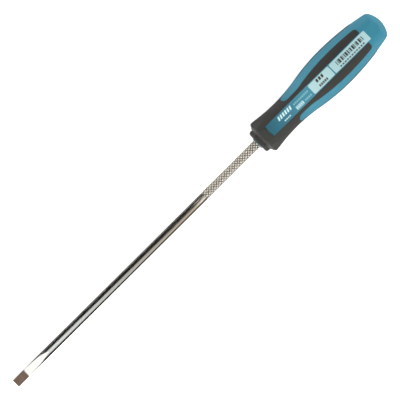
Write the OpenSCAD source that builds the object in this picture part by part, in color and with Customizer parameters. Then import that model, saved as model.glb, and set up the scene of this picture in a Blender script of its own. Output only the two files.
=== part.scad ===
// Slotted screwdriver with a plated round blade and a moulded two-colour handle.
// All sizes are in millimetres. X runs along the tool from the tip's end face (x = 0)
// to the butt, +Z leaves the panel that carries the labels, +Y completes the frame.
// The handle is described from its own front face, which sits at x = blade_len.

/* [Blade] */
// length of blade that stands out of the handle
blade_len = 150; // [80:1:200]
// diameter of the plain round shank, which is also the width of the tip
blade_d = 4; // [3:0.1:5.5]
// thickness of the tip at its very end
tip_t = 0.8; // [0.5:0.05:1.2]
// length of the two hollow-ground facets
grind_len = 19.4; // [14:0.1:26]
// radius of the grinding wheel that leaves the facets hollow
wheel_r = 200; // [150:5:400]

/* [Knurl and tang] */
// length of the knurled band that can be seen ahead of the handle
knurl_len = 32; // [15:1:45]
// how far the knurl stands above the plain shank
knurl_rise = 0.12; // [0.05:0.01:0.2]
// length over which the knurl runs out onto the plain shank
knurl_lead = 0.6; // [0.3:0.1:1]
// how far the knurled band goes on inside the handle
knurl_buried = 6; // [3:0.5:8]
// distance from the tang's inner end to the butt of the handle
tang_cover = 25; // [20:1:32]
// width over the two pressed wings of the tang
wing_span = 6.4; // [5.8:0.1:7]
// thickness of the wings
wing_t = 1.3; // [1:0.1:1.8]
// length of the wings where they are widest
wing_len = 6; // [4:0.5:8]

/* [Handle outline] */
// length of the handle without the blade
handle_len = 77; // [64:0.1:92.5]
// diameter at the waist, behind the front collar
waist_d = 14.4; // [12.5:0.02:17.3]
// distance of the waist from the front of the handle
waist_x = 17.9; // [15:0.1:20]
// diameter at the widest place
belly_d = 19.76; // [16.4:0.02:23.5]
// distance of the widest place from the butt
belly_back = 28.8; // [24:0.1:32]
// share of the way from waist to belly where the hollow turns into the swell
blend_at = 0.455; // [0.35:0.005:0.6]
// diameter at the shoulder of the butt
shoulder_d = 14.76; // [13.8:0.02:15.6]
// distance of that shoulder from the butt
shoulder_back = 3.8; // [3.4:0.1:4.4]
// radius of the domed end of the butt
dome_r = 11.5; // [10.5:0.5:14]
// radius that rounds the corner between side and dome
butt_round = 3.5; // [2.5:0.1:3.6]

/* [Front collar] */
// how far the collar's corners stand above the waist, on the radius
collar_rise = 1.02; // [0.8:0.02:1.4]
// how far the collar's corners stand above its flats, on the radius
collar_flat = 0.57; // [0.3:0.01:0.8]
// place of the collar's front edge
collar_x = 2.4; // [2:0.1:3]
// axial distance from the front edge to the full collar
collar_lead = 2; // [1.5:0.1:2.5]
// radius of the collar's rounded front edge
collar_round = 0.9; // [0.4:0.1:1.2]
// diameter over the corners of the six-sided nose
nose_d = 11.6; // [10.8:0.1:12.4]
// how far the nose's corners stand above its flats, on the radius
nose_flat = 0.6; // [0.3:0.05:0.8]
// set-back of the nose from the end of the core
nose_back = 0.45; // [0.3:0.05:0.8]
// radius of the nose's rounded front edge
nose_round = 1.2; // [0.6:0.1:1.4]

/* [Grip sleeve] */
// wall of the soft sleeve
sleeve_t = 1.2; // [0.8:0.05:1.5]
// how far the soft sleeve stands above the hard fingers
proud = 0.13; // [0.05:0.01:0.3]
// diameter of the hard spigot under the nose
spigot_d = 8.4; // [7.8:0.1:9]
// place of the spigot's front face
spigot_x = 1.7; // [1.5:0.1:2.5]
// distance from the sleeve's rear end to the butt
sleeve_back = 10.7; // [8:0.1:14]
// rounding at the rear end of the stripes
stripe_round = 1.5; // [0.8:0.1:1.6]

/* [Label panels and fingers] */
// width of the flat label panel
panel_w = 5.8; // [5:0.1:6.6]
// how far the flat lies below the crown of the handle
panel_drop = 0.55; // [0.4:0.05:0.7]
// distance of the panel's front end from the front of the handle
panel_x = 7.5; // [6.5:0.1:9]
// length of the bevel that leads down to the panel
panel_bevel = 1.3; // [0.6:0.1:1.8]
// distance of the finger tips from the front of the handle
finger_x = 20.9; // [19:0.1:24]
// radius of the rounded finger tips
finger_tip_r = 2.7; // [2.2:0.1:3]
// width of a finger just behind its tip
finger_w1 = 6.6; // [5.6:0.1:7]
// width of a finger at the rear end of the stripes
finger_w2 = 5.3; // [4.8:0.1:6]

/* [Labels] */
// width of both labels
label_w = 5; // [4:0.1:5]
// thickness of the label film
label_t = 0.1; // [0.05:0.01:0.2]
// length of the size label
size_label_len = 12.4; // [9:0.1:14]
// length of the bar label
bar_label_len = 21.7; // [17:0.1:22]
// gap between the two labels
label_gap = 0.6; // [0.3:0.1:1.5]
// distance from the size label's rear end forward of the widest place
label_shift = 2.3; // [1:0.1:4]
// corner rounding of the labels
label_round = 0.45; // [0.2:0.05:0.8]

/* [Core] */
// wall of the core's nose around the knurl
core_nose_wall = 0.68; // [0.5:0.02:0.8]
// diameter over the corners of the six-sided core
core_d = 9.8; // [9:0.1:10]
// distance from the front of the handle to the thick part of the core
core_step = 10; // [9:0.5:12]
// distance from the core's inner end to the butt
core_back = 14; // [11:0.5:18]

/* [Hidden] */
$fn = 96;
FINE = 240;
BIG = 40;

shank_r = blade_d / 2;
knurl_r = shank_r + knurl_rise;
tang_end = handle_len - tang_cover;
wing_mid = tang_end - 12;
core_nose_r = knurl_r + core_nose_wall;
core_end = handle_len - core_back;
waist_r = waist_d / 2;
belly_r = belly_d / 2;
belly_x = handle_len - belly_back;
shoulder_x = handle_len - shoulder_back;
shoulder_r = shoulder_d / 2;
stripe_x = handle_len - sleeve_back;
collar_r = waist_r + collar_rise;
full_x = collar_x + collar_lead;

// Hollow and swell are two arcs that meet on the line between their centres: the sum of
// their radii follows from the two diameters and the distance between them.
swell_dx = belly_x - waist_x;
swell_dr = belly_r - waist_r;
arc_sum = (swell_dx * swell_dx + swell_dr * swell_dr) / (2 * swell_dr);
function to(v, n) = round(v * n) / n;
neck_R = to(arc_sum * blend_at, 10000);
belly_R = arc_sum - neck_R;
rear_dx = shoulder_x - belly_x;
rear_dr = belly_r - shoulder_r;
rear_R = to((rear_dx * rear_dx + rear_dr * rear_dr) / (2 * rear_dr), 1000);
// arc centres as [radius, place along the handle]
neck_c = [waist_r + neck_R, waist_x];
belly_c = [belly_r - belly_R, belly_x];
rear_c = [belly_r - rear_R, belly_x];
dome_c = [0, handle_len - dome_r];

function unit(v) = v / norm(v);
// Outer meeting point of two circles: where the rounding's centre lies.
function meet(a, ra, b, rb) =
    let (d = norm(b - a), u = (b - a) / d, s = (d * d + ra * ra - rb * rb) / (2 * d),
         h = sqrt(ra * ra - s * s))
    a + s * u + h * [-u[1], u[0]];
round_c = meet(rear_c, rear_R - butt_round, dome_c, dome_r - butt_round);
blend_u = unit(neck_c - belly_c);
round_u = unit(round_c - rear_c);
dome_u = unit(round_c - dome_c);

// Places along the handle where one arc hands over to the next, for an outline moved out by o.
function x_blend(o) = belly_c[1] + (belly_R + o) * blend_u[1];
function x_round(o) = rear_c[1] + (rear_R + o) * round_u[1];
function x_dome(o) = dome_c[1] + (dome_r + o) * dome_u[1];

// ---- half outlines, drawn as [radius, place along the handle] ----
module strip(x0, x1, w = 14) if (x1 > x0) translate([0, x0]) square([w, x1 - x0]);

module under(c, r, x0, x1) if (x1 > x0) intersection() {
    strip(x0, x1);
    translate(c) circle(r, $fn = FINE);
}

module neck_part(o, x0, x1) if (x1 > x0) difference() {
    strip(x0, x1);
    translate(neck_c) circle(neck_R - o, $fn = FINE);
}

// The handle's three long arcs moved out by o, between two places along it.
module arcs(o, x0, x1) {
    neck_part(o, x0, min(x1, x_blend(o)));
    under(belly_c, belly_R + o, max(x0, x_blend(o)), min(x1, belly_x));
    under(rear_c, rear_R + o, max(x0, belly_x), x1);
}

// The same with the rounded butt; the square fills what the small circle leaves at the axis.
module outline(o, x0, x1) {
    arcs(o, x0, min(x1, x_round(o)));
    if (x1 > x_round(o)) {
        under(round_c, butt_round + o, x_round(o), x_dome(o));
        under(dome_c, dome_r + o, x_dome(o), x1);
        translate([0, x_round(o) - 1]) square([dome_r / 3, x_dome(o) - x_round(o) + 1.3]);
    }
}

module turned() rotate([0, 90, 0]) rotate_extrude(angle = 360) children();
module on_handle() translate([blade_len, 0, 0]) children();
// A side view drawn as [place along X, height] and given a width along Y.
module side(w) rotate([90, 0, 0]) linear_extrude(w, center = true) children();
module top_and_bottom() { children(); rotate([180, 0, 0]) children(); }

// ---- blade: one bar, ground at the tip, knurled ahead of and inside the handle ----
// The wheel's centre lies above the middle of the chord from tip to facet start.
chord = [grind_len, shank_r - tip_t / 2];
wheel_c = [0, tip_t / 2] + chord / 2
    + sqrt(wheel_r * wheel_r - chord * chord / 4) * unit([-chord[1], chord[0]]);

module along(x0, x1, r) translate([x0, 0, 0]) rotate([0, 90, 0]) cylinder(h = x1 - x0, r = r);
module taper(x0, x1, ra, rb)
    translate([x0, 0, 0]) rotate([0, 90, 0]) cylinder(h = x1 - x0, r1 = ra, r2 = rb);

module tang() {
    difference() {
        union() {
            along(-knurl_len - knurl_lead, tang_end - 0.5, shank_r);
            taper(tang_end - 0.5, tang_end, shank_r, shank_r - 0.5);
            taper(-knurl_len - knurl_lead, -knurl_len, shank_r - 0.001, knurl_r);
            along(-knurl_len, knurl_buried, knurl_r);
            translate([wing_mid, 0, 0]) linear_extrude(wing_t, center = true) polygon([
                [-wing_len / 2 - 3, -0.5], [-wing_len / 2, -wing_span / 2],
                [wing_len / 2, -wing_span / 2], [wing_len / 2 + 1.6, -0.5],
                [wing_len / 2 + 1.6, 0.5], [wing_len / 2, wing_span / 2],
                [-wing_len / 2, wing_span / 2], [-wing_len / 2 - 3, 0.5]]);
        }
        // the press that spreads the wings leaves the bar as thin as they are
        top_and_bottom() translate([wing_mid, 0, 0]) side(BIG) polygon([
            [-wing_len / 2, wing_t / 2], [wing_len / 2, wing_t / 2],
            [wing_len / 2 + 2, shank_r + 0.5], [-wing_len / 2 - 2, shank_r + 0.5]]);
    }
}

module blade() color("Silver") {
    difference() {
        along(0, blade_len - knurl_len - knurl_lead, shank_r);
        top_and_bottom() side(BIG) translate(wheel_c) circle(wheel_r, $fn = 720);
    }
    on_handle() tang();
}

// ---- core: first hard shot, moulded round the knurl and the wings ----
module core_form() {
    along(0, core_step, core_nose_r);
    translate([core_step, 0, 0]) rotate([0, 90, 0])
        cylinder(h = core_end - core_step, r = core_d / 2, $fn = 6);
}

module handle_core() color("SteelBlue") on_handle() difference() {
    core_form();
    tang();
}

// ---- fingers: seen square on, a slab with a round tip that flares out at the rear ----
slope = atan((finger_w1 - 2 * finger_tip_r) / 2 / 6.4);
tip_c = finger_x + finger_tip_r;
tip_cut = tip_c - finger_tip_r * sin(slope);
tip_y = finger_tip_r * cos(slope);
wide_x = tip_cut + (finger_w1 / 2 - tip_y) / tan(slope);
// the stripe between two fingers is this wide at its end, and its corners stay inside it
stripe_end_r = rear_c[0] + sqrt(rear_R * rear_R - pow(stripe_x - belly_x, 2));
flare = min(stripe_round, stripe_end_r * sin(30) - finger_w2 / 2 - 0.1);
flare_x = stripe_x - flare;

module finger_shape() {
    intersection() {
        translate([tip_c, 0]) circle(finger_tip_r);
        translate([finger_x - 1, -BIG / 2]) square([tip_cut - finger_x + 1, BIG]);
    }
    polygon([[tip_cut, -tip_y], [wide_x, -finger_w1 / 2], [flare_x, -finger_w2 / 2],
             [stripe_x + 1, -finger_w2 / 2], [stripe_x + 1, finger_w2 / 2],
             [flare_x, finger_w2 / 2], [wide_x, finger_w1 / 2], [tip_cut, tip_y]]);
    for (s = [-1, 1]) scale([1, s]) difference() {
        translate([flare_x, finger_w2 / 2]) square([flare, flare]);
        translate([flare_x, finger_w2 / 2 + flare]) circle(flare);
    }
}

module hard_fingers() for (a = [60, 120, 240, 300]) rotate([a, 0, 0]) translate([0, 0, 3])
    linear_extrude(10) finger_shape();

// A flat's side view: the long arcs moved by o, which run out on the rounded butt.
module crown(o, x0, x1) rotate(90) mirror([0, 1]) arcs(o, x0, x1);

// The straight bars that carry the label panels, and the windows they fill in the sleeve.
module panel_bars() top_and_bottom() side(panel_w) difference() {
    crown(-panel_drop - proud, panel_x, stripe_x);
    translate([panel_x - 1, -1]) square([handle_len, 4]);
}
module windows() top_and_bottom() translate([panel_x, -panel_w / 2, 3])
    cube([stripe_x + 1 - panel_x, panel_w, 10]);

// ---- body: second hard shot, the layer under the sleeve, the fingers and the butt ----
module under_sleeve() {
    along(spigot_x, full_x + 1, spigot_d / 2);
    turned() outline(-sleeve_t, full_x + 1, stripe_x);
}

// The flats go on over the butt until they run out on its rounding.
module butt() difference() {
    turned() outline(-proud, stripe_x, handle_len);
    top_and_bottom() side(BIG) difference() {
        translate([stripe_x - 1, 3]) square([shoulder_back + sleeve_back + 5, 12]);
        crown(-panel_drop - proud, stripe_x - 2, handle_len + 6);
    }
}

module handle_body() color("Teal") on_handle() difference() {
    union() {
        under_sleeve();
        intersection() {
            turned() outline(-proud, finger_x - 1, stripe_x);
            hard_fingers();
        }
        panel_bars();
        butt();
    }
    core_form();
}

// ---- sleeve: soft shot with a six-sided nose and collar and six tongues ----
function tangent_from(p, c, r) =
    let (v = c - p, l = sqrt(v * v - r * r), a = atan2(v[1], v[0]) - asin(r / norm(v)))
    p + l * [cos(a), sin(a)];
edge_c = [collar_r - collar_round, full_x];
edge_p = [nose_d / 2 - 0.05, collar_x];
edge_t = tangent_from(edge_p, edge_c, collar_round);

module nose_half() {
    nr = nose_d / 2;
    translate([0, nose_back + nose_round]) square([nr, collar_x + 0.6 - nose_back - nose_round]);
    translate([0, nose_back]) square([nr - nose_round, nose_round]);
    intersection() {
        translate([nr - nose_round, nose_back]) square([nose_round, nose_round]);
        translate([nr - nose_round, nose_back + nose_round]) circle(nose_round);
    }
}

module collar_half() {
    polygon([[0, collar_x], edge_p, edge_t, edge_c, [0, full_x]]);
    intersection() {
        translate([edge_c[0], edge_t[1] - 0.5]) square([2 * collar_round, full_x - edge_t[1] + 0.5]);
        polygon([edge_c, edge_t, edge_t + 2 * (edge_t - edge_c), [collar_r + 2, full_x]]);
        translate(edge_c) circle(collar_round);
    }
    intersection() {
        strip(full_x, panel_x + 5, collar_r);
        neck_part(0, full_x, panel_x + 5);
    }
}

// A six-sided bar with one flat square to +Z, so that its corners stand out along Y.
module six(r_flat, x0, x1) translate([x0, 0, 0]) rotate([30, 0, 0]) rotate([0, 90, 0])
    cylinder(h = x1 - x0, r = r_flat / cos(30), $fn = 6);

module sleeve_form() {
    intersection() { turned() nose_half(); six(nose_d / 2 - nose_flat, 0, collar_x + 0.6); }
    intersection() { turned() collar_half(); six(collar_r - collar_flat, collar_x, panel_x + 5); }
    turned() outline(0, panel_x + 5, stripe_x);
}

module panel_lead() top_and_bottom() side(panel_w) polygon([
    [panel_x - panel_bevel, collar_r - collar_flat + 0.01], [panel_x, collar_r - collar_flat - 0.4],
    [panel_x + 0.01, collar_r - collar_flat - 0.4], [panel_x + 0.01, collar_r + 1],
    [panel_x - panel_bevel, collar_r + 1]]);

module grip_sleeve() color("DimGray") on_handle() difference() {
    sleeve_form();
    under_sleeve();
    hard_fingers();
    windows();
    panel_lead();
    core_form();
}

// ---- labels: thin strips that follow the flat panel ----
module label(x0, len) on_handle() intersection() {
    side(label_w) difference() {
        crown(label_t - panel_drop - proud, x0, x0 + len);
        crown(-panel_drop - proud, x0 - 1, x0 + len + 1);
    }
    translate([x0, -label_w / 2, 4]) linear_extrude(8) {
        translate([label_round, 0]) square([len - 2 * label_round, label_w]);
        translate([0, label_round]) square([len, label_w - 2 * label_round]);
        for (x = [label_round, len - label_round], y = [label_round, label_w - label_round])
            translate([x, y]) circle(label_round);
    }
}

size_end = belly_x - label_shift;
module size_label() color("PaleTurquoise") label(size_end - size_label_len, size_label_len);
module barcode_label() color("PaleTurquoise") label(size_end + label_gap, bar_label_len);

blade();
handle_core();
handle_body();
grip_sleeve();
size_label();
barcode_label();
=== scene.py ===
# %% [markdown]
# # A slotted screwdriver, built piece by piece
# The imported CAD model gives the frame: every piece below is made in the same place. The tool's
# sizes are written in millimetres and become metres where a mesh is made. We keep the CAD box
# from the start.

# %% load the frame
import math

import bmesh
import bpy
import numpy as np
from mathutils import Matrix, Vector


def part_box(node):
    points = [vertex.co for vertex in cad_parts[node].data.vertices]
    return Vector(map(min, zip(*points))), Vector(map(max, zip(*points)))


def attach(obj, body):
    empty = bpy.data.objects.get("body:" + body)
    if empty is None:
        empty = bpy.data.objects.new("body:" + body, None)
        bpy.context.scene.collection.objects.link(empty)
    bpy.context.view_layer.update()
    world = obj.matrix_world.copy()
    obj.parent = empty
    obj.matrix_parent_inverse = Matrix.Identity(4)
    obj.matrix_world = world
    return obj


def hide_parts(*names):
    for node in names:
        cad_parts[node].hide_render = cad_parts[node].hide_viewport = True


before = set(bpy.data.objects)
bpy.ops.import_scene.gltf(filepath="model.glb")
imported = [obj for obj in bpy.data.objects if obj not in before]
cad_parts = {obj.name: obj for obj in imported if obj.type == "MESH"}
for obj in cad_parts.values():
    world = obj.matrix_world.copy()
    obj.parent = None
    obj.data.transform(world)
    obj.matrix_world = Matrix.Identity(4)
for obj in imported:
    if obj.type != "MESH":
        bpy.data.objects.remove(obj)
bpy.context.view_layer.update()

MM = 0.001
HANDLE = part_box("handle_core")[0].x / MM      # the handle's front face, along X

# %% [markdown]
# ## Surfaces from numbers
# A handle could be pushed into shape by hand, but then its sizes would be hard to trust. Here
# each new piece is a grid of points: a formula gives every point from two parameters. Patches
# meet along shared lines, so we merge equal points afterwards, drop the faces that collapsed
# at a pole, and ask Blender to turn all faces outwards. That keeps a piece one closed skin,
# which shades well and can be printed or weighed.

# %% grids and welding
WELD = 2e-6           # points closer than about this, in metres, become one
NUDGE = 0.31415       # keeps round numbers such as 0 away from the edge between two steps


def quads(rows, cols, start=0):
    """Index grid: each face takes a point, its right neighbour and the two points one row on."""
    i = np.arange(rows - 1)[:, None] * cols + np.arange(cols - 1)[None, :] + start
    return np.stack([i, i + 1, i + 1 + cols, i + cols], -1).reshape(-1, 4)


def weld(points, faces):
    """Points with the same whole number of weld steps along each axis become one. A quad that
    lost a corner becomes a triangle, and points that no face uses are dropped."""
    key = np.round(points / WELD + NUDGE).astype(np.int64)
    _, first, back = np.unique(key, axis=0, return_index=True, return_inverse=True)
    f = back.reshape(-1)[faces]
    same = np.stack([f[:, k] == f[:, (k + 1) % 4] for k in range(4)], 1)
    whole = f[~same.any(1) & (f[:, 0] != f[:, 2]) & (f[:, 1] != f[:, 3])]
    one = same.sum(1) == 1
    keep = np.array([[0, 2, 3], [0, 1, 3], [0, 1, 2], [0, 1, 2]])[same[one].argmax(1)]
    tris = np.take_along_axis(f[one], keep, 1)
    tris = tris[(tris[:, 0] != tris[:, 1]) & (tris[:, 1] != tris[:, 2]) & (tris[:, 0] != tris[:, 2])]
    used, place = np.unique(np.concatenate([whole.ravel(), tris.ravel()]), return_inverse=True)
    return first[used], place[:whole.size].reshape(-1, 4), place[whole.size:].reshape(-1, 3)


def count_open(*face_sets):
    """How many edges don't have exactly two faces: each face gives its corners taken in pairs."""
    pairs = [np.stack([f, np.roll(f, -1, 1)], -1).reshape(-1, 2) for f in face_sets]
    faces_at = np.unique(np.sort(np.concatenate(pairs), 1), axis=0, return_counts=True)[1]
    return int((faces_at != 2).sum())


print("a grid of 3 by 4 points:", len(quads(3, 4)), "faces,", count_open(quads(3, 4)), "open edges")


# %% mesh building
def piece(name, patches, sharp, zones=None):
    """Builds one closed mesh from (rows, cols, 3) patches in millimetres. Edges that turn by more
    than sharp degrees stay hard; zones are values per point, kept as the attribute "zone"."""
    shapes = [p.shape[:2] for p in patches]
    starts = np.cumsum([0] + [r * c for r, c in shapes])
    pts = np.concatenate([p.reshape(-1, 3) for p in patches]) * MM
    faces = np.concatenate([quads(r, c, n) for (r, c), n in zip(shapes, starts)])
    first, whole, tris = weld(pts, faces)
    mesh = bpy.data.meshes.new(name)
    mesh.from_pydata(pts[first], [], whole.tolist() + tris.tolist())
    if zones is not None:
        values = np.concatenate([np.broadcast_to(z, s).reshape(-1) for z, s in zip(zones, shapes)])
        attribute = mesh.attributes.new("zone", "FLOAT", "POINT")
        attribute.data.foreach_set("value", values[first].astype(np.float32))
    bm = bmesh.new()
    bm.from_mesh(mesh)
    bmesh.ops.recalc_face_normals(bm, faces=bm.faces)
    volume = bm.calc_volume(signed=True)
    if volume < 0:
        bmesh.ops.reverse_faces(bm, faces=bm.faces)
    bm.to_mesh(mesh)
    bm.free()
    mesh.polygons.foreach_set("use_smooth", np.ones(len(mesh.polygons), bool))
    mesh.set_sharp_from_angle(angle=math.radians(sharp))
    obj = bpy.data.objects.new(name, mesh)
    bpy.context.scene.collection.objects.link(obj)
    print(f"{name}: {len(mesh.polygons)} faces, {count_open(whole, tris)} open edges,",
          f"{abs(volume) / MM ** 3:.1f} mm3")
    return obj


def take_place(obj, node):
    """The piece rides on the one body and stands for its CAD node."""
    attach(obj, "root")
    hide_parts(node)


# %% [markdown]
# ## The handle's outline
# A moulded handle is drawn with a few long arcs: hollow behind the collar for the fingertips,
# swelling for the palm, and falling to a rounded butt. A free curve through a few points could
# do it too, but arcs keep the curvature even. Their radii follow from the diameters and places
# that a maker would measure, so we state those and solve for the arcs.

# %% outline arcs
WAIST_R, WAIST_X = 7.20, 17.9
BELLY_R, BELLY_X = 9.88, 48.2
SHOULDER_R, SHOULDER_X = 7.38, 73.2
END, DOME_R, ROUND_R = 77.0, 11.5, 3.5
HOLLOW = 0.455                          # share of the way from waist to belly that is hollow
PROUD, WALL = 0.13, 1.2                 # soft sleeve above the hard fingers, and its thickness
PANEL_HALF, PANEL_DROP = 2.9, 0.68      # half width of the label flat, depth under the crown
STRIPE_X = 66.3                         # rear end of the soft stripes

run, rise, fall = BELLY_X - WAIST_X, BELLY_R - WAIST_R, BELLY_R - SHOULDER_R
arc_sum = (run ** 2 + rise ** 2) / (2 * rise)       # two arcs that touch share this sum of radii
NECK = arc_sum * HOLLOW
SWELL = arc_sum - NECK
REAR = ((SHOULDER_X - BELLY_X) ** 2 + fall ** 2) / (2 * fall)
X_BLEND = WAIST_X + run * HOLLOW
# the rounding's centre is where two circles cross, round the centres of the rear arc and dome
gap = math.hypot(END - DOME_R - BELLY_X, REAR - BELLY_R)
side_a = (gap ** 2 + (REAR - ROUND_R) ** 2 - (DOME_R - ROUND_R) ** 2) / (2 * gap)
side_h = math.sqrt((REAR - ROUND_R) ** 2 - side_a ** 2)
ux, ur = (END - DOME_R - BELLY_X) / gap, (REAR - BELLY_R) / gap
ROUND_C = (BELLY_X + side_a * ux + side_h * ur, BELLY_R - REAR + side_a * ur - side_h * ux)
print("arcs", round(NECK, 1), round(SWELL, 1), round(REAR, 1), "rounding centre", np.round(ROUND_C, 2))


# %% outline functions
def radius(x, off=0.0):
    """Radius of the outline at x: hollow arc, swelling arc, falling arc, corner rounding, dome.
    Each arc is a circle's height over x, and off moves the whole outline outwards."""
    x = np.asarray(x, float)

    def circle(cx, cr, r):
        return cr + np.sqrt(np.maximum(r * r - (x - cx) ** 2, 0))

    hollow = WAIST_R + NECK - np.sqrt(np.maximum((NECK - off) ** 2 - (x - WAIST_X) ** 2, 1))
    out = np.where(x < X_BLEND, hollow, circle(BELLY_X, BELLY_R - SWELL, SWELL + off))
    out = np.where(x > BELLY_X, circle(BELLY_X, BELLY_R - REAR, REAR + off), out)
    vx, vr = ROUND_C[0] - BELLY_X, ROUND_C[1] - BELLY_R + REAR
    meet = ROUND_C[0] + (ROUND_R + off) * vx / math.hypot(vx, vr)
    out = np.where(x > meet, circle(ROUND_C[0], ROUND_C[1], ROUND_R + off), out)
    wx, wr = ROUND_C[0] - END + DOME_R, ROUND_C[1]
    meet = END - DOME_R + (DOME_R + off) * wx / math.hypot(wx, wr)
    return np.where(x > meet, circle(END - DOME_R, 0.0, DOME_R + off), out)


def long_arcs(x, off=0.0):
    """The outline without its rounded butt, for the flats that run out over it."""
    x = np.asarray(x, float)
    return np.where(x > BELLY_X, BELLY_R - REAR + np.sqrt((REAR + off) ** 2 - (x - BELLY_X) ** 2),
                    radius(np.minimum(x, BELLY_X), off))


def soft_min(a, b, k):
    """The smaller of two heights, with the crease between them rounded over about k."""
    h = np.clip(0.5 + 0.5 * (b - a) / k, 0, 1)
    return b + (a - b) * h - k * h * (1 - h)


def edge_drop(d, rho):
    """A quarter-round: how far the surface falls at distance d from its edge."""
    t = np.clip(rho - d, 0, rho)
    return rho - np.sqrt(np.maximum(rho * rho - t * t, 0))


print("waist, belly, butt radii", radius(np.array([WAIST_X, BELLY_X, END - 0.1])).round(2))

# %% [markdown]
# ## Where hard plastic meets soft
# Seen square on, each hard finger is a slab with a round tip that flares into the butt; the
# label panels are straight bars with a square front. The handle repeats every 60 degrees and
# each repeat is mirrored, so one 30 degree half-sector of each kind is enough. Cutting the
# fingers out with a Boolean would leave ragged faces along the cut. Instead the border curve
# is sampled along its length, and the grid's lines start on it, so the edge between the two
# plastics is crisp however close one looks.


# %% border curves of the two kinds of finger
def arc(cx, cy, r, a0, a1, n=24):
    """n points of a circle about (cx, cy), from angle a0 to a1 in degrees."""
    a = np.radians(np.linspace(a0, a1, n))
    return np.stack([cx + r * np.cos(a), cy + r * np.sin(a)], 1)


TIP_X, TIP_R = 20.9, 2.7                 # a finger's round tip: its foremost point and radius
W1, W2 = 3.3, 2.65                       # its half width at the widest and at the rear
TAPER = 6.4                              # the length over which it widens from TIP_R to W1
FLARE, PANEL_FLARE = 1.5, 0.4            # roundings at the stripes' rear ends
CORNER = 0.45                            # rounding of a label panel's front corners
FRONT = {"panel": 7.5, "finger": TIP_X}
PAST = {"panel": 8.6, "finger": 24.2}    # where the border runs straight again
START, BEND = 6.0, 64.3                  # the first station, and the one where the rear bend begins

lean = math.degrees(math.atan((W1 - TIP_R) / TAPER))
tilt = math.radians(lean)
cut = (TIP_X + TIP_R - TIP_R * math.sin(tilt), TIP_R * math.cos(tilt))
wide_x = cut[0] + (W1 - cut[1]) / math.tan(tilt)
BORDER = {
    "panel": np.concatenate([
        [[FRONT["panel"], 0.0]],
        arc(FRONT["panel"] + CORNER, PANEL_HALF - CORNER, CORNER, 180, 90),
        arc(STRIPE_X - PANEL_FLARE, PANEL_HALF + PANEL_FLARE, PANEL_FLARE, -90, 0)]),
    "finger": np.concatenate([
        arc(TIP_X + TIP_R, 0, TIP_R, 180, 90 + lean, 40),
        [[wide_x, W1]],
        arc(STRIPE_X - FLARE, W2 + FLARE, FLARE, -90, 0, 40)]),
}
print("border points", {k: len(v) for k, v in BORDER.items()}, "lean", round(lean, 2), "degrees")

# %% stations and half-sectors
# stations along the middle of the soft stripes, closer where a border bends
STATIONS = np.unique(np.concatenate([
    np.linspace(START, FRONT["panel"], 6), np.linspace(FRONT["panel"], PAST["panel"], 16),
    np.linspace(PAST["panel"], TIP_X, 20), np.linspace(TIP_X, PAST["finger"], 20),
    np.linspace(PAST["finger"], BEND, 40), np.linspace(BEND, STRIPE_X, 16)]).round(6))
ACROSS = np.linspace(0, 1, 17) ** 1.5     # lines across a stripe, closer at its edge
HALF = 30                                 # degrees from a finger's middle to its stripe's middle


def border(kind):
    """Border point of each station: along the centre line to the front of the hard plastic, then
    along its edge. Path lengths are tied to the stations at five places."""
    p = np.concatenate([[[START, 0.0]], BORDER[kind]])
    s = np.concatenate([[0], np.cumsum(np.hypot(*np.diff(p, axis=0).T))])
    past, bend = np.interp([PAST[kind], BEND], p[2:, 0], s[2:])
    knots = [START, FRONT[kind], PAST[kind], BEND, STRIPE_X]
    want = np.interp(STATIONS, knots, [0, FRONT[kind] - START, past, bend, s[-1]])
    return np.stack([np.interp(want, s, p[:, 0]), np.interp(want, s, p[:, 1])], 1)


def kind_at(angle):
    """Two label panels face up and down; the other four repeats are fingers."""
    return "panel" if angle % 180 == 0 else "finger"


EDGE = {k: border(k) for k in BORDER}
FIRST = {k: int(np.argmin(abs(STATIONS - FRONT[k]))) for k in BORDER}
# each half-sector: the middle of its finger, the side it opens to, its kind and its neighbour's
SECTORS = [(c, s, kind_at(c), kind_at(c + 2 * HALF * s)) for c in range(0, 360, 2 * HALF) for s in (1, -1)]
print(len(STATIONS), "stations; hard plastic starts at rows", FIRST)


# %% points on the handle
def angle_at(y, r):
    """Angle from the finger's middle at which a surface of radius r is y wide."""
    return np.degrees(np.arcsin(np.clip(y / np.maximum(r, 1e-6), -1, 1)))


def rim(kind, along=500, behind=50):
    """The border as dense (place, angle) points, with the stripe's rear end line after it."""
    e = EDGE[kind][FIRST[kind]:]
    i = np.linspace(0, len(e) - 1, along)
    x, y = (np.interp(i, np.arange(len(e)), e[:, k]) for k in (0, 1))
    a = angle_at(y, radius(x))
    rear = np.linspace(a[-1], HALF, behind)
    return np.concatenate([x, np.full(behind, STRIPE_X)]), np.concatenate([a, rear])


def to_border(x, ang, kind, other, batch=100):
    """Distance over the unrolled surface to the nearer of the two borders beside the stripe,
    worked out against a batch of border points at a time to save memory."""
    (x1, a1), (x2, a2) = rim(kind), rim(other)
    ex, ea = np.concatenate([x1, x2]), np.radians(np.concatenate([a1, 2 * HALF - a2]))
    px, pa, pr = x.ravel()[:, None], np.radians(ang).ravel()[:, None], radius(x).ravel()[:, None]
    near = [np.hypot(px - ex[k:k + batch], (pa - ea[k:k + batch]) * pr).min(1)
            for k in range(0, len(ex), batch)]
    return np.min(near, 0).reshape(x.shape)


def spin(x, ang, r, centre, side):
    """A point at place x, angle ang from the finger's middle and radius r, set round the axis."""
    a = np.radians(centre + side * ang)
    return np.stack([HANDLE + x + 0 * a, r * np.sin(a), r * np.cos(a)], -1)


def between(top, low, n=4):
    """A wall: straight lines from each point of one rim to the same point of the other."""
    t = np.linspace(0, 1, n)[:, None, None]
    return top[None] * (1 - t) + low[None] * t


narrow = HALF - angle_at(EDGE["finger"][:, 1], radius(EDGE["finger"][:, 0])).max()
print("a stripe's half beside a finger is at least", round(float(narrow), 1), "degrees wide")

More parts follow.
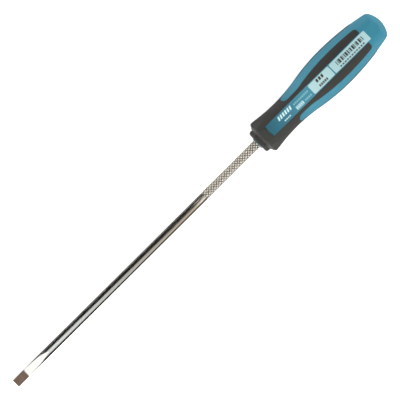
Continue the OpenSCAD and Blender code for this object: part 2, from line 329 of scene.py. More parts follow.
# %% [markdown]
# ## The soft sleeve
# The dark elastomer is moulded over the hard body: a six-sided nose and collar that keep the
# tool from rolling, a hollow neck, and six tongues that run back between the hard fingers. One
# could carve it out of a turned shape, but every cut would need its own clean-up. Here its skin
# is a radius over (place, angle). Flats come from the smaller of "round" and "plane", and every
# border edge gets a small quarter-round so it catches the light as a moulded edge does.

# %% the sleeve's profile ahead of the neck
NOSE_FLAT, COLLAR_FLAT = 5.2, 7.65        # from the axis to the flats of nose and collar
NOSE_CREASE, CREASE = 0.25, 0.30          # how softly round and flat meet there
NOSE_X, BORE_R = 0.45, 2.82               # the nose's front face, and the hole in it
SEAT_X, SEAT_R, SEAT_END = 1.7, 4.22, 5.4     # the hollow behind it, for the hard body's front ring
COLLAR_R, COLLAR_ROUND = WAIST_R + 1.02, 0.9


def even(p, n):
    """n points spread evenly along a polyline."""
    p = np.asarray(p, float)
    s = np.concatenate([[0], np.cumsum(np.hypot(*np.diff(p, axis=0).T))])
    return np.stack([np.interp(np.linspace(0, s[-1], n), s, p[:, k]) for k in (0, 1)], 1)


# the collar's sloping face is the tangent from its foot to the circle that rounds its edge
foot, edge_c = np.array([2.5, 5.72]), np.array([4.4, COLLAR_R - COLLAR_ROUND])
v = edge_c - foot
reach = math.sqrt(v @ v - COLLAR_ROUND ** 2)
turn = math.atan2(v[1], v[0]) + math.asin(COLLAR_ROUND / math.hypot(*v))
touch = foot + reach * np.array([math.cos(turn), math.sin(turn)])
a_touch = math.degrees(math.atan2(*(touch - edge_c)[::-1]))
# both profiles are (place, radius) points, from the hole in the nose to the neck
nose_out = np.concatenate([
    even([[NOSE_X, BORE_R], [NOSE_X, 4.55]], 6), arc(1.65, 4.6, 1.2, 180, 90, 14),
    even([[1.8, 5.8], [2.25, 5.8]], 4), [[2.34, 5.78], [2.4, 5.72]]])
collar_out = np.concatenate([
    even([foot, touch], 12), arc(edge_c[0], edge_c[1], COLLAR_ROUND, a_touch, 90, 12)[1:],
    even([[4.6, COLLAR_R], [START, min(COLLAR_R, float(radius(START)))]], 9)[:-1]])
seat = np.array([[NOSE_X, BORE_R], [SEAT_X, BORE_R], [SEAT_X, SEAT_R], [SEAT_END, SEAT_R],
                 [SEAT_END, float(radius(SEAT_END, -WALL))]])
print("collar radius", round(COLLAR_R, 2), "mm; its face touches the rounding at", touch.round(2))

# %% the sleeve's skin
FLATS_END, FLATS_FADE = 12.5, 2.5         # the collar's flats are gone here, after fading over this
SOFT_EDGE = 0.16                          # quarter-round along the sleeve's borders
EDGE_X = FRONT["panel"] - 0.2             # it starts here, just ahead of the label panels
BEVEL_X, BEVEL_LEN, BEVEL_DROP = 6.2, 1.3, 0.30     # the ramp down to a label panel
BEVEL_HALF, BEVEL_SIDE = 3.2, 0.3         # its half width, and the run of its sides


def sleeve_r(x, ang):
    """Round skin; ahead of the neck it is cut by six soft-edged flats, which fade where the
    round skin sinks below them."""
    r = np.where(x < FLATS_END, np.minimum(radius(x), COLLAR_R), radius(x))
    flat = soft_min(r, COLLAR_FLAT / np.cos(np.radians(ang)), CREASE)
    w = np.clip((FLATS_END - x) / FLATS_FADE, 0, 1)
    return flat * w + r * (1 - w)


def bevel(x, y):
    """How far the skin falls on the way to a label panel: a ramp along the handle, ended by the
    panel's front, times a ramp at each side."""
    ramp = np.clip((x - BEVEL_X) / BEVEL_LEN, 0, 1) * np.clip(1 - (x - FRONT["panel"]) / BEVEL_SIDE, 0, 1)
    return BEVEL_DROP * ramp * np.clip((BEVEL_HALF - y) / BEVEL_SIDE, 0, 1)


def sleeve_patches():
    """Per half-sector: skin from nose to stripe end, inner skin, and the wall along the border."""
    out, n, t = [], len(STATIONS), ACROSS[None, :]
    for centre, side, kind, other in SECTORS:
        e, k = EDGE[kind], FIRST[kind]
        front, lead, a_seat = (HALF * t + 0 * p[:, :1] for p in (nose_out, collar_out, seat))
        nose = soft_min(nose_out[:, 1:] + 0 * front, NOSE_FLAT / np.cos(np.radians(front)), NOSE_CREASE)
        collar = soft_min(collar_out[:, 1:] + 0 * lead, COLLAR_FLAT / np.cos(np.radians(lead)), CREASE)
        x = e[:, :1] * (1 - t) + STATIONS[:, None] * t
        a_out = angle_at(e[:, 1], radius(e[:, 0]))[:, None] * (1 - t) + HALF * t
        r = sleeve_r(x, a_out)
        drop = edge_drop(to_border(x, a_out, kind, other), SOFT_EDGE)
        r = r - np.where(STATIONS[:, None] < EDGE_X, 0, drop)
        if kind == "panel":
            r = r - bevel(x, r * np.sin(np.radians(a_out)))
        skin = spin(np.concatenate([nose_out[:, :1] + 0 * front, collar_out[:, :1] + 0 * lead, x]),
                    np.concatenate([front, lead, a_out]), np.concatenate([nose, collar, r]), centre, side)
        a_in = angle_at(e[:, 1], radius(e[:, 0], -WALL))[:, None] * (1 - t) + HALF * t
        inner = spin(np.concatenate([seat[:, :1] + 0 * a_seat, x]), np.concatenate([a_seat, a_in]),
                     np.concatenate([seat[:, 1:] + 0 * a_seat, radius(x, -WALL)]), centre, side)
        top, low = skin[-n:], inner[-n:]
        out += [skin, inner, between(top[k:, 0], low[k:, 0]), between(top[-1], low[-1])]
    return out


sleeve = piece("soft_sleeve", sleeve_patches(), sharp=38)
take_place(sleeve, "grip_sleeve")

# %% [markdown]
# ## The hard body
# The teal shot carries everything: a layer under the sleeve with channels for its tongues, the
# fingers between them, two flat label panels and the butt. It could be the sleeve's shape grown
# inwards, but a grown copy meets its parent badly at corners. The same border curves are used
# from the other side instead, so the two plastics meet without a gap. Behind the stripes a
# second patch carries the skin to a pole at the end of the dome.

# %% the body's skin
HARD_EDGE = 0.08                          # quarter-round along the fingers' borders
RUN_OUT, RUN_OUT_LEN = 65.6, 0.7          # where the panel's plane starts to give way to the butt
CORE_END, CORE_FLAT, CORE_X = 63.02, 4.26, 10.0     # the cavity's end, its six flats and their start
HUB_BORE, HUB_R = 2.84, 4.2               # the front ring that the sleeve's nose sits on
BUTT_ROWS, BUTT_FAN = 34, 1.8             # rows from there to the pole; how far the first bows back
SOFTEN = 0.10                             # how softly plane and butt meet


def body_r(x, ang, kind):
    """Hard skin: the outline a little under the sleeve's; the label panels are planes along it,
    which behind the stripes run out on the round butt."""
    r = radius(x, -PROUD)
    if kind == "finger":
        return r
    flat = long_arcs(x, -PANEL_DROP) / np.cos(np.radians(ang))
    w = np.clip((x - RUN_OUT) / RUN_OUT_LEN, 0, 1)
    return flat * (1 - w) + soft_min(r, flat, SOFTEN) * w


def body_patches():
    """Per half-sector: cavity with the channel's floor, skin, wall between them, and butt."""
    out, n, t = [], len(ACROSS), ACROSS[None, :]
    cavity = np.array([[CORE_END, 0.0], [CORE_END, CORE_FLAT], [CORE_X, CORE_FLAT], [CORE_X, HUB_BORE],
                       [SEAT_X, HUB_BORE], [SEAT_X, HUB_R], [SEAT_END, HUB_R],
                       [SEAT_END, float(radius(SEAT_END, -WALL))]])
    for centre, side, kind, other in SECTORS:
        e, k = EDGE[kind], FIRST[kind]
        xf = e[:, :1] * (1 - t) + STATIONS[:, None] * t
        af = angle_at(e[:, 1], radius(e[:, 0], -WALL))[:, None] * (1 - t) + HALF * t
        ac = HALF * t + 0 * cavity[:, :1]
        six_sided = CORE_FLAT / np.cos(np.radians(HALF - ac))
        rc = np.where(cavity[:, 1:] == CORE_FLAT, six_sided, cavity[:, 1:] + 0 * ac)
        channel = spin(np.concatenate([cavity[:, :1] + 0 * ac, xf]), np.concatenate([ac, af]),
                       np.concatenate([rc, radius(xf, -WALL)]), centre, side)
        bx, by = e[k:, 0], e[k:, 1]
        on_plane = np.degrees(np.arctan2(by, long_arcs(bx, -PANEL_DROP)))
        b = on_plane if kind == "panel" else angle_at(by, radius(bx, -PROUD))
        ex = np.concatenate([bx, np.full(n - 1, STRIPE_X)])
        eb = np.concatenate([b, b[-1] + (HALF - b[-1]) * ACROSS[1:]])
        mid = np.concatenate([STATIONS[k:], STRIPE_X + BUTT_FAN * np.linspace(0, 1, n)[1:]])
        x = ex[:, None] * (1 - t) + mid[:, None] * t
        ang = eb[:, None] * (1 - t)
        r = body_r(x, ang, kind) - edge_drop(to_border(x, ang, kind, other), HARD_EDGE)
        skin = spin(x, ang, r, centre, side)
        base = channel[-len(STATIONS):]
        low = np.concatenate([base[k:, 0], base[-1, 1:]])
        u = 1 - (1 - np.linspace(0, 1, BUTT_ROWS)[:, None]) ** 2
        xb = x[-1:] + (END - PROUD - x[-1:]) * u
        rb = body_r(xb, ang[-1:] + 0 * xb, kind)
        rb[0], rb[-1] = r[-1], 0.0
        out += [channel, skin, between(skin[:, 0], low), spin(xb, ang[-1:] + 0 * xb, rb, centre, side)]
    return out


body = piece("hard_body", body_patches(), sharp=38)
take_place(body, "handle_body")

# %% [markdown]
# ## The blade
# One steel bar. The tip is ground hollow by two passes of a wheel, so each facet is part of a
# large circle seen from the side. Near the handle the bar is rolled between knurling wheels:
# two families of helical grooves cross and leave rows of small diamonds. Bump alone could hint
# at them, but would leave the bar's edge smooth, so they are real. The bar is a ring of 160
# points carried along X; at the facets the ring's points slide so that one of them always sits
# on the facet's edge, which keeps that edge sharp. Each point also carries a number for the
# finish: 1 on a facet, 0 on the round bar, and below 0, down to -1, up the sides of a diamond.

# %% blade sizes
SHANK_R, KNURL_R, GRIND, TIP_T, WHEEL = 2.0, 2.12, 19.4, 0.8, 200.0
KNURL_X, LEAD, BURIED, TANG = HANDLE - 32.0, 0.6, HANDLE + 6.0, HANDLE + 52.0
HIDDEN = HANDLE + 0.8                     # the knurl is drawn up to here, just inside the core
ROWS, PITCH, GROOVE = 8, 1.62, 0.24       # diamonds around the bar, their length along it, their depth
CREST = 1.6                               # how steep a diamond's sides are; its top is cut off flat
RING, TIP_ROUND, TANG_STEP = 161, 0.06, 0.5     # ring points with the first one twice; edge breaks
RESUME = 24.0                             # where the ring's points are evenly spaced again
WING_X = HANDLE + np.array([34, 37, 43, 44.6])      # stations of the wings' width
FLAT_X = HANDLE + np.array([35, 37, 43, 45])        # and of their thickness
WING_W, WING_T = 3.2, 0.65                # half width and half thickness of the pressed wings
chord = np.array([GRIND, SHANK_R - TIP_T / 2])
lift = math.sqrt(WHEEL ** 2 - chord @ chord / 4)
wheel_c = np.array([0, TIP_T / 2]) + chord / 2 + lift * np.array([-chord[1], chord[0]]) / math.hypot(*chord)
print("grinding wheel's centre", wheel_c.round(2), "mm; knurl starts at", round(KNURL_X, 1), "mm")


# %% blade surface
def facet_height(x):
    """Height of the ground facet over the axis: the lower side of the wheel's circle."""
    return wheel_c[1] - np.sqrt(np.maximum(WHEEL ** 2 - (x - wheel_c[0]) ** 2, 0))


def wave(p):
    """A triangle wave that goes from 1 down to 0 and back over each whole number."""
    return np.abs(np.mod(p, 1.0) - 0.5) * 2


def diamonds(x, phi):
    """Knurl height from 0 in the grooves to 1 on the crests: one minus the higher of two
    crossing triangle waves, cut off flat at the top."""
    around = ROWS * phi / (2 * np.pi)
    return np.clip(CREST * (1 - np.maximum(wave(around + x / PITCH), wave(around - x / PITCH))), 0, 1)


def slide(ring, xs, height):
    """Angle round the bar for each ring point. Where there is a facet, the quarter of the ring
    that belongs to it is squeezed or stretched so that its last point sits on the facet's edge,
    at the angle whose cosine is height over radius; behind the facet this eases off. The second
    result says which points belong to a facet's quarter."""
    quarter, least = np.pi / 4, math.radians(5)
    edge = np.maximum(np.arccos(np.clip(height / SHANK_R, 0, 1)), least)
    back = np.clip((xs - GRIND) / (RESUME - GRIND), 0, 1)
    edge = np.where(xs < GRIND, edge, least + (quarter - least) * back)
    a = np.minimum(np.abs(ring), np.pi - np.abs(ring))
    slid = np.where(a < quarter, a * edge / quarter, edge + (a - quarter) * (np.pi / 2 - edge) / quarter)
    return np.where(np.abs(ring) < np.pi / 2, slid, np.pi - slid) * np.sign(ring), a < quarter


def cap(row):
    """A flat end: a fan from the axis to a ring."""
    return np.stack([row * [1, 0, 0], row])


def blade_patches():
    """The bar's surface over place and angle, with its two ends, and the zone of each point."""
    xs = np.unique(np.concatenate([
        np.linspace(0, 0.12, 4), np.linspace(0.12, 18, 60), np.linspace(18, GRIND, 30),
        np.linspace(GRIND, RESUME, 8), np.linspace(RESUME, KNURL_X - LEAD, 12),
        np.linspace(KNURL_X - LEAD, HIDDEN, 300), np.linspace(HIDDEN, BURIED, 4),
        np.linspace(BURIED, HANDLE + 33, 4), np.linspace(HANDLE + 33, HANDLE + 46, 40),
        [TANG - 0.5, TANG]]).round(5))[:, None]
    ring = np.linspace(-np.pi, np.pi, RING)[None, :]
    height = np.where(xs < GRIND, facet_height(xs), SHANK_R)
    phi, of_facet = slide(ring, xs, height)
    on = np.clip((xs - KNURL_X + LEAD) / LEAD, 0, 1) * (xs < HIDDEN)
    crest = diamonds(xs, phi)
    r = SHANK_R + on * (KNURL_R - GROOVE - SHANK_R + GROOVE * crest)
    r = np.where((xs >= HIDDEN) & (xs < BURIED), KNURL_R, r) - TANG_STEP * (xs >= TANG - 1e-6)
    tip_round = edge_drop(xs, TIP_ROUND)
    half_w = np.interp(xs, WING_X, [0.5, WING_W, WING_W, 0.5])
    half_t = np.interp(xs, FLAT_X, [2.5, WING_T, WING_T, 2.5])
    z = r * np.cos(phi)
    wide = np.clip((WING_T - np.abs(z)) / 0.2 + 1, 0, 1) * np.maximum(half_w - SHANK_R, 0)
    y = r * np.sin(phi) * (1 + wide / SHANK_R)
    limit = np.where(xs < GRIND, height - tip_round, half_t)
    z = np.clip(z, -limit, limit)
    skin = np.stack([xs + 0 * y, y * (1 - tip_round / 8), z], -1)
    zone = (of_facet & (xs < GRIND)).astype(float) - on * crest
    return [skin, cap(skin[0]), cap(skin[-1])], [zone, 0.0, 0.0]


blade_grid, blade_zones = blade_patches()
bar = piece("blade_bar", blade_grid, sharp=14, zones=blade_zones)
take_place(bar, "blade")

# %% [markdown]
# ## Labels and printed marks
# Each label is a thin film that bends with the flat panel it is stuck to. Print could be a
# pattern in the material, but small shapes keep their edges however close one looks. So the
# marks are a film of ink: generic bars and blocks, set where such a tool carries print, with no
# letters. A slab is six patches over its length and width, for film and ink alike.

# %% slabs that follow the panel
FILM, INK, SUNK = 0.1, 0.02, 0.005        # thickness of film and of ink, and how deep ink sits in
SIDES = ((slice(None), 0), (slice(None), -1), (0,), (-1,))


def slab(x0, x1, y0, y1, lift=-SUNK, thick=INK, slant=0.0, corner=0.0, rows=6):
    """A closed strip on the panel: place and width set the outline, the panel's long arc sets
    the height; slant shears it, and corner draws the width in near both ends on a circle."""
    u = np.linspace(0, 1, rows)
    if corner:
        c = corner * (1 - np.cos(np.linspace(0, np.pi / 2, 9))) / (x1 - x0)
        u = np.unique(np.concatenate([c, np.linspace(c[-1], 1 - c[-1], rows), 1 - c]))
    u, v = u[:, None], np.linspace(0, 1, 5)[None, :]
    d = np.minimum(u, 1 - u) * (x1 - x0)
    draw = edge_drop(d, corner) if corner else 0 * d
    y = (y0 + draw) * (1 - v) + (y1 - draw) * v
    x = x0 + (x1 - x0) * u + slant * (v - 0.5)
    z = long_arcs(x, -PANEL_DROP) + lift
    low, top = np.stack([HANDLE + x, y, z], -1), np.stack([HANDLE + x, y, z + thick], -1)
    return [low, top] + [between(top[s], low[s], 2) for s in SIDES]


def sticker(name, x0, x1, rows):
    """A film 5 mm wide with rounded corners."""
    return piece(name, slab(x0, x1, -2.5, 2.5, 0, FILM, corner=0.45, rows=rows), sharp=30)


size_film = sticker("size_sticker", 33.5, 45.9, 24)
take_place(size_film, "size_label")
bar_film = sticker("bar_sticker", 46.5, 68.2, 40)
take_place(bar_film, "barcode_label")

# %% printed marks
ON_FILM = FILM - SUNK


def row(count, x, pitch, long, y0, y1, lift=-SUNK, slant=0.0):
    """Marks of one length, set out from x at an even pitch."""
    starts = x + pitch * np.arange(count)
    return [patch for s in starts for patch in slab(s, s + long, y0, y1, lift, slant=slant)]


def bars(x, end, count=34):
    """Bars whose widths and gaps come from two sine waves, so that they encode nothing."""
    out = []
    for k in range(count):
        w = 0.22 + 0.72 * abs(math.sin(2.3 * k + 0.4)) ** 2
        if x + w < end:
            out += slab(x, x + w, -0.5, 1.55, ON_FILM)
        x += w + 0.20 + 0.42 * abs(math.cos(1.7 * k)) ** 2
    return out


pale = row(6, 14.1, 1.38, 0.85, 0.15, 1.95, slant=0.55)         # slanted bars near the collar
pale += row(4, 15.8, 0.98, 0.65, -1.75, -1.15)                  # short dashes under them
pale += slab(23.2, 27.6, -0.62, -0.42) + slab(23.2, 27.6, -2.1, -1.9)     # two lines
pale += row(5, 23.3, 0.92, 0.65, -1.72, -0.8)                   # and blocks between them
faint = row(9, 23.4, 1.02, 0.65, 0.55, 1.25) + row(4, 28.5, 1.05, 0.7, -1.7, -0.95)
dark = row(3, 37.7, 1.55, 1.05, 0.5, 2.05, ON_FILM, slant=0.2)  # blocks on the size label
dark += row(5, 37.5, 1.05, 0.7, -1.85, -0.7, ON_FILM)
dark += bars(49.6, 65.9) + row(11, 50.0, 1.4, 0.85, -2.0, -1.35, ON_FILM)
marks = {}
for name, patches in (("panel_marks", pale), ("faint_marks", faint), ("dark_marks", dark)):
    marks[name] = piece(name, patches, sharp=30)
    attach(marks[name], "root")

# %% [markdown]
# ## A short way to write materials
# A shader is a graph, and linking it node by node hides what it does. Written as arithmetic it
# is easier to read: the small class below wraps a socket, so that a sum or product of two
# fields adds the Math node for it. Every other node comes from one method that takes its type,
# its settings and its sockets.


# %% fields
class Field:
    """A number that varies over the surface."""

    def __init__(self, finish, socket):
        self.finish, self.socket = finish, socket

    def math(self, op, a, b=0.0, clamp=False):
        settings = {"operation": op, "use_clamp": clamp}
        return Field(self.finish, self.finish.node("ShaderNodeMath", settings, {0: a, 1: b}).outputs[0])

    def __add__(self, other):
        return self.math("ADD", self, other)

    def __radd__(self, other):
        return self.math("ADD", other, self)

    def __sub__(self, other):
        return self.math("SUBTRACT", self, other)

    def __rsub__(self, other):
        return self.math("SUBTRACT", other, self)

    def __mul__(self, other):
        return self.math("MULTIPLY", self, other)

    def __rmul__(self, other):
        return self.math("MULTIPLY", other, self)

    def __truediv__(self, other):
        return self.math("DIVIDE", self, other)

    def clamp(self):
        return self.math("ADD", self, 0.0, True)

    def step(self, at, width):
        """0 below at, 1 above at + width, straight between."""
        return ((self - at) / width).clamp()


# %% finishes as graphs
class Finish:
    """One material: a Principled shader and the nodes that feed it."""

    def __init__(self, name, **constants):
        self.mat = bpy.data.materials.new(name)
        self.mat.use_nodes = True
        self.tree = self.mat.node_tree
        self.shader = self.tree.nodes["Principled BSDF"]
        for k, v in constants.items():
            self.shader.inputs[k.replace("_", " ")].default_value = v
        self.where = self.node("ShaderNodeTexCoord").outputs["Object"]
        xyz = self.node("ShaderNodeSeparateXYZ", {}, {0: self.where})
        self.x = Field(self, xyz.outputs["X"])

    def node(self, kind, settings=None, sockets=None):
        n = self.tree.nodes.new(kind)
        for k, v in (settings or {}).items():
            setattr(n, k, v)
        for k, v in (sockets or {}).items():
            v = v.socket if isinstance(v, Field) else v
            if isinstance(v, bpy.types.NodeSocket):
                self.tree.links.new(v, n.inputs[k])
            else:
                n.inputs[k].default_value = v
        return n

    def noise(self, scale, stretch=(1, 1, 1), detail=3.0):
        """Cloudy noise around 0.5; scale is in waves per metre, stretch changes it per axis."""
        v = self.node("ShaderNodeMapping", {}, {"Vector": self.where, "Scale": stretch}).outputs[0]
        sockets = {"Vector": v, "Scale": scale, "Detail": detail, "Roughness": 0.55}
        return Field(self, self.node("ShaderNodeTexNoise", {}, sockets).outputs["Fac"])

    def mix(self, factor, a, b):
        """Colour a where factor is 0, colour b where it is 1."""
        return self.node("ShaderNodeMix", {"data_type": "RGBA"}, {0: factor, 6: a, 7: b}).outputs[2]

    def set(self, name, value):
        value = value.socket if isinstance(value, Field) else value
        self.tree.links.new(value, self.shader.inputs[name])

    def bump(self, height, depth):
        sockets = {"Strength": 0.6, "Distance": depth, "Height": height}
        self.set("Normal", self.node("ShaderNodeBump", {}, sockets).outputs[0])


def paint(obj, finish):
    """Gives the object this one material."""
    obj.data.materials.clear()
    obj.data.materials.append(finish.mat)


def rgb(*c):
    """A colour with full opacity."""
    return (*c, 1.0)


# %% [markdown]
# ## Finishes
# Moulded polypropylene is never quite even: the colour drifts a little with the flow, and the
# mould's fine spark texture scatters the light. One flat colour would look like a drawing, so
# noise at three scales drives colour, gloss and grain. The elastomer is matt. The bar is bright
# plating with faint lines along it, bare ground steel with lines across it at the facets, brown
# oxide at the tip, and a paler, rougher look on the rolled knurl.

# %% plastics
SHADE_X, SHADE_LEN = HANDLE + 9, 20.0     # where a darkened front starts to give way, and over how much


def moulded(name, deep, light, rough, grain, depth, collar_shade=1.0, **constants):
    """A moulded finish: slow colour drift, fine scuffs in the gloss, and mould grain as bump.
    The share given after depth is how bright the colour is at the collar, as a share of the deep
    one; below 1 it paints shade on the front of the handle, darkest at the collar."""
    f = Finish(name, **constants)
    drift = (f.noise(55, (0.35, 1, 1)) * 2.4 - 0.7).clamp()
    scuff = f.noise(900, (0.2, 1, 1)).step(0.56, 0.12)
    colour = f.mix(drift, rgb(*deep), rgb(*light))
    # painted shade: the front of the handle is darker towards the collar
    if collar_shade < 1:
        shade = f.x.step(SHADE_X * MM, SHADE_LEN * MM)
        colour = f.mix(shade, rgb(*(c * collar_shade for c in deep)), colour)
    f.set("Base Color", colour)
    f.set("Roughness", rough + 0.09 * drift + 0.10 * scuff)
    f.bump(f.noise(grain, detail=2.0) + 0.25 * scuff, depth)
    return f


# the teal's 0.60 paints shade on the handle's front, darkest at the collar
teal = moulded("teal_polypropylene", (0.034, 0.222, 0.312), (0.044, 0.258, 0.356), 0.30, 2600, 0.00003,
               collar_shade=0.60, Specular_IOR_Level=0.5, Coat_Weight=0.12, Coat_Roughness=0.22)
core_teal = moulded("core_polypropylene", (0.10, 0.19, 0.19), (0.13, 0.24, 0.23), 0.35, 2600, 0.00003)
grip = moulded("soft_elastomer", (0.030, 0.030, 0.028), (0.043, 0.043, 0.038), 0.56, 4200, 0.00005,
               Specular_IOR_Level=0.36, Sheen_Weight=0.05, Sheen_Roughness=0.5)
film = moulded("sticker_film", (0.40, 0.63, 0.65), (0.46, 0.69, 0.70), 0.30, 1500, 0.00001, Coat_Weight=0.3)
ink_pale = moulded("pale_ink", (0.52, 0.80, 0.85), (0.60, 0.88, 0.90), 0.42, 3000, 0.00001)
ink_faint = moulded("faint_ink", (0.19, 0.46, 0.53), (0.23, 0.52, 0.59), 0.42, 3000, 0.00001)
ink_dark = moulded("dark_ink", (0.030, 0.026, 0.024), (0.055, 0.048, 0.044), 0.5, 3000, 0.00001)
print("nodes in the teal finish:", len(teal.tree.nodes))

# %% steel
OXIDE_END, OXIDE_EDGE, OXIDE_WANDER = 6.7, 0.5, 0.8      # mm: its end, its soft edge, how far it wanders

steel = Finish("bright_bar")
zone = Field(steel, steel.node("ShaderNodeAttribute", {"attribute_name": "zone"}).outputs["Fac"])
facet, crest = zone.clamp(), (0 - zone).step(0.28, 0.36)
wander = OXIDE_WANDER * MM * steel.noise(700, detail=2.0)
oxide = (1 - (steel.x + wander).step(OXIDE_END * MM, OXIDE_EDGE * MM)) * (0.55 + 0.45 * facet)
knurl = steel.x.step((KNURL_X - LEAD) * MM, 0.0004)
along = steel.noise(3200, (0.012, 1, 1), detail=2.0)
across = steel.noise(2600, (1, 0.03, 0.03), detail=2.0)
mottle = steel.noise(420)
plated = steel.mix(along, rgb(0.74, 0.72, 0.68), rgb(0.82, 0.80, 0.76))
ground = steel.mix(across, rgb(0.80, 0.79, 0.76), rgb(0.93, 0.92, 0.90))
worn = steel.mix(mottle, rgb(0.88, 0.82, 0.71), rgb(1.0, 0.95, 0.85))
# painted shade: the knurl's grooves are near black, while the crests keep the rolled colour
rolled = steel.mix(crest, rgb(0.050, 0.036, 0.024), worn)    # dark grooves between worn crests
brown = steel.mix(mottle, rgb(0.108, 0.068, 0.047), rgb(0.220, 0.152, 0.110))
clean = steel.mix(knurl, steel.mix(facet, plated, ground), rolled)
steel.set("Base Color", steel.mix(oxide, clean, brown))
steel.set("Metallic", 1 - 0.55 * oxide - 0.55 * knurl)
plain = 0.13 + 0.05 * along
steel.set("Roughness", plain + 0.20 * facet + 0.10 * across * facet + 0.12 * knurl + 0.22 * oxide)
steel.bump(along * (1 - facet) * (1 - knurl) * 0.4 + across * facet + mottle * oxide * 2, 0.0000035)

# %% every piece gets its finish
FINISHES = ((body, teal), (sleeve, grip), (bar, steel), (size_film, film), (bar_film, film),
            (marks["panel_marks"], ink_pale), (marks["faint_marks"], ink_faint),
            (marks["dark_marks"], ink_dark), (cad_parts["handle_core"], core_teal))
for obj, finish in FINISHES:
    paint(obj, finish)
    print(obj.name, "has", finish.mat.name)

# %% [markdown]
# ## Floor, light and camera
# The tool lies on its side on a white floor, resting on its belly and on the shank behind the
# tip, so the floor is a plane through those two. Bright steel shows only what it mirrors. One
# big soft box would do for the plastics but leave the bar flat, so the bar gets its own row of
# cards: seen end on, they fill the arc of sky over it from a little past the top down to one
# side, and they grow narrower, dimmer and warmer toward the handle. The other side stays dark,
# helped by strips of painted shade beside the bar that only reflections see, which makes the
# bar look round. The matt surfaces are lit apart from that, by the room and by lights that
# reflections do not see.

# %% floor and room
REST_R, REST_GAP = 9.46, 0.05            # mm: the belly's lowest point, and the air under it
FLOOR = 1.5                              # m: half the floor's side
slope = (REST_R - SHANK_R) / (HANDLE + BELLY_X - GRIND)
WHITE = (1.0, 1.0, 1.0)


def link(name, data):
    """Puts mesh or lamp data into the scene under a name."""
    obj = bpy.data.objects.new(name, data)
    bpy.context.scene.collection.objects.link(obj)
    return obj


def board(name, corners):
    """A flat four-cornered mesh."""
    mesh = bpy.data.meshes.new(name)
    mesh.from_pydata(corners, [], [[0, 1, 2, 3]])
    return link(name, mesh)


def ground_z(x, gap):
    """Height at x, in metres, of a plane that slopes as the floor does and lies gap millimetres
    under the places where the tool rests."""
    return -(SHANK_R - slope * GRIND + gap) * MM - slope * x


sides = ((-FLOOR, -FLOOR), (FLOOR, -FLOOR), (FLOOR, FLOOR), (-FLOOR, FLOOR))
floor_obj = board("floor", [(x, y, ground_z(x, REST_GAP)) for x, y in sides])
floor_paint = Finish("floor_paint", Roughness=0.9, Specular_IOR_Level=0.1, Emission_Color=rgb(*WHITE),
                     Emission_Strength=0.68)
floor_tone = floor_paint.mix(floor_paint.noise(4), rgb(0.90, 0.90, 0.90), rgb(0.92, 0.92, 0.92))
floor_paint.set("Base Color", floor_tone)
paint(floor_obj, floor_paint)

room = bpy.data.worlds.new("room")
room.use_nodes = True
background = room.node_tree.nodes["Background"]
background.inputs["Color"].default_value = rgb(*WHITE)
background.inputs["Strength"].default_value = 0.58
bpy.context.scene.world = room
room.cycles_visibility.glossy = False
bpy.context.scene.view_settings.view_transform = "Standard"
print("the floor slopes by", round(math.degrees(math.atan(slope)), 2), "degrees along the tool")


# %% cards
def card(name, centre, aim, width, height, colour, power, glossy, diffuse=True):
    """A rectangular light that faces a point, seen by reflections, matt surfaces or both. power
    is in watts: a card of radiance 1 gives pi times its area."""
    lamp = bpy.data.lights.new(name, "AREA")
    lamp.shape, lamp.size, lamp.size_y, lamp.energy, lamp.color = "RECTANGLE", width, height, power, colour
    obj = link(name, lamp)
    obj.location = centre
    obj.rotation_euler = (Vector(aim) - Vector(centre)).to_track_quat("-Z", "Y").to_euler()
    obj.visible_camera, obj.visible_glossy, obj.visible_diffuse = False, glossy, diffuse


def sky_card(name, x, width, low, high, colour, radiance, away=0.5):
    """A card that reflections see over the stretch of bar at x, from angle low to angle high,
    measured from straight up toward the side light; away is its distance in metres."""
    ends = [away * np.array([-math.sin(math.radians(a)), math.cos(math.radians(a))]) for a in (low, high)]
    mid, tall = (ends[0] + ends[1]) / 2, float(np.hypot(*(ends[1] - ends[0])))
    card(name, (x, *mid), (x, 0, 0), width, tall, colour, radiance * math.pi * width * tall, True, False)


print("a card of radiance 1, a metre square, gives", round(math.pi, 2), "W")

# %% lights for matt surfaces and cards for reflections
card("key_light", (-0.02, -0.42, 0.40), (0.03, 0, 0), 0.34, 0.46, WHITE, 0.8, False)
card("side_fill", (-0.34, -0.36, 0.58), (0.13, 0, 0), 0.5, 0.5, WHITE, 3.15, False)
sky_card("tip_card", -0.12, 0.22, -35, 35, WHITE, 1.8)
CARDS, CARD_W, CARD_X = 6, 0.024, 0.002
COOL, WARM = (0.92, 1.0, 1.03), (1.0, 0.76, 0.50)
for k in range(CARDS):
    u = k / (CARDS - 1)
    tint = tuple(a * (1 - u * u) + b * u * u for a, b in zip(COOL, WARM))
    glow = max(1.05 - 0.85 * u, 0.52)
    sky_card(f"bar_card_{k}", CARD_X + CARD_W * k, CARD_W, -18 + 40 * u, 64 + 34 * u, tint, glow)
sky_card("collar_card", 0.151, 0.024, -40, 60, (1.0, 0.94, 0.82), 2.1)
# one card beyond each end, which the bar mirrors when it is seen from a corner
for name, x in (("front_end_card", -0.85), ("rear_end_card", 1.08)):
    card(name, (x, 0, 0.46), (0.11, 0, 0), 1.3, 0.85, (1.0, 0.99, 0.96), 2.6, True, False)
sky_card("handle_card", 0.22, 0.12, 15, 70, (1.0, 0.97, 0.92), 0.35)
sky_card("dark_side", 0.10, 0.5, -70, -40, (1.0, 0.84, 0.68), 0.015)
card("butt_fill", (0.62, -0.06, 0.09), (0.22, 0, 0), 0.4, 0.2, WHITE, 0.9, False)
card("left_fill", (0.17, 0.50, 0.11), (0.19, 0, 0), 0.4, 0.25, WHITE, 0.75, False)

# %% dark strips of painted shade
SHADOW_GAP = 0.04                         # mm under the tool: a hair over the floor
SHADOW_Y, SHADOW_TOP = -0.035, 0.004        # m: where the upright strip stands, and its top


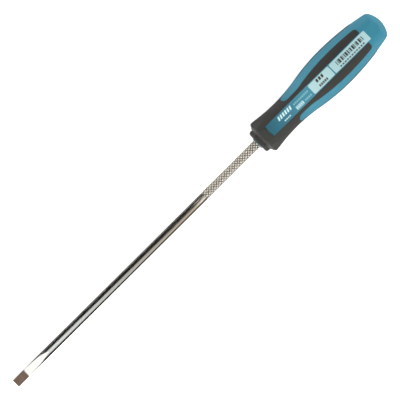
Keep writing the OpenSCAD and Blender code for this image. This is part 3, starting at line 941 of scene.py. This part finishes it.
def lying(x0, x1, near0, near1, far):
    """Corners of a strip just over the floor, from a slanting near edge to a straight far one."""
    low0, low1 = ground_z(x0, SHADOW_GAP), ground_z(x1, SHADOW_GAP)
    return [(x0, near0, low0), (x1, near1, low1), (x1, far, low1), (x0, far, low0)]


def shadow_strip(name, corners, shade=0.006):
    """A dark strip that only reflections see: painted shade on and just over the floor beside the tool."""
    obj = board(name, corners)
    shadow_paint = Finish(name + "_shadow_paint", Roughness=1.0, Specular_IOR_Level=0.0)
    deep, light = (rgb(*[k * shade] * 3) for k in (0.7, 1.3))
    shadow_paint.set("Base Color", shadow_paint.mix(shadow_paint.noise(30), deep, light))
    paint(obj, shadow_paint)
    obj.visible_camera = obj.visible_diffuse = obj.visible_shadow = False


bar_x = KNURL_X * MM
foot_line = [(0.0, SHADOW_Y, ground_z(0.0, SHADOW_GAP)), (bar_x, SHADOW_Y, ground_z(bar_x, SHADOW_GAP))]
# painted shade for reflections: strips around the bar, and a grey sheet under the handle
shadow_strip("shadow_strip_right", foot_line + [(bar_x, SHADOW_Y, SHADOW_TOP), (0.0, SHADOW_Y, SHADOW_TOP)])
shadow_strip("shadow_strip_low", lying(0.0, bar_x, -0.0030, -0.0050, SHADOW_Y))
shadow_strip("handle_shadow_sheet", lying(0.150, 0.6, -0.2, -0.2, 0.2), 0.22)
shadow_strip("shadow_strip_left", lying(0.0, bar_x, 0.0022, 0.0075, 0.06))
print("strips beside the bar end at", round(bar_x, 3), "m")

# %% camera
LENS, SENSOR, FIELD = 800.0, 36.0, 0.1764       # mm, mm, and the width in metres that the view takes in
AIM = Vector((0.1147, 0.0001, 0.0))
NOD, ROLL = -1.4, 0.13      # degrees: tilt about the tool's axis, turn about the line of sight
dist = FIELD * LENS / SENSOR
right, up, back = Vector((1, -1, 0)) / math.sqrt(2), Vector((1, 1, 0)) / math.sqrt(2), Vector((0, 0, 1))
turn = Matrix.Rotation(math.radians(NOD), 3, "X") @ Matrix((right, up, back)).transposed()
turn = turn @ Matrix.Rotation(math.radians(ROLL), 3, "Z")
cam_data = bpy.data.cameras.new("camera")
cam_data.lens, cam_data.sensor_width, cam_data.clip_end = LENS, SENSOR, 10.0
cam = link("camera", cam_data)
cam.matrix_world = Matrix.Translation(AIM + turn @ Vector((0, 0, dist))) @ turn.to_4x4()
bpy.context.scene.camera = cam
print("camera", round(dist, 3), "m away, looking along", [round(c, 3) for c in -(turn @ Vector((0, 0, 1)))])
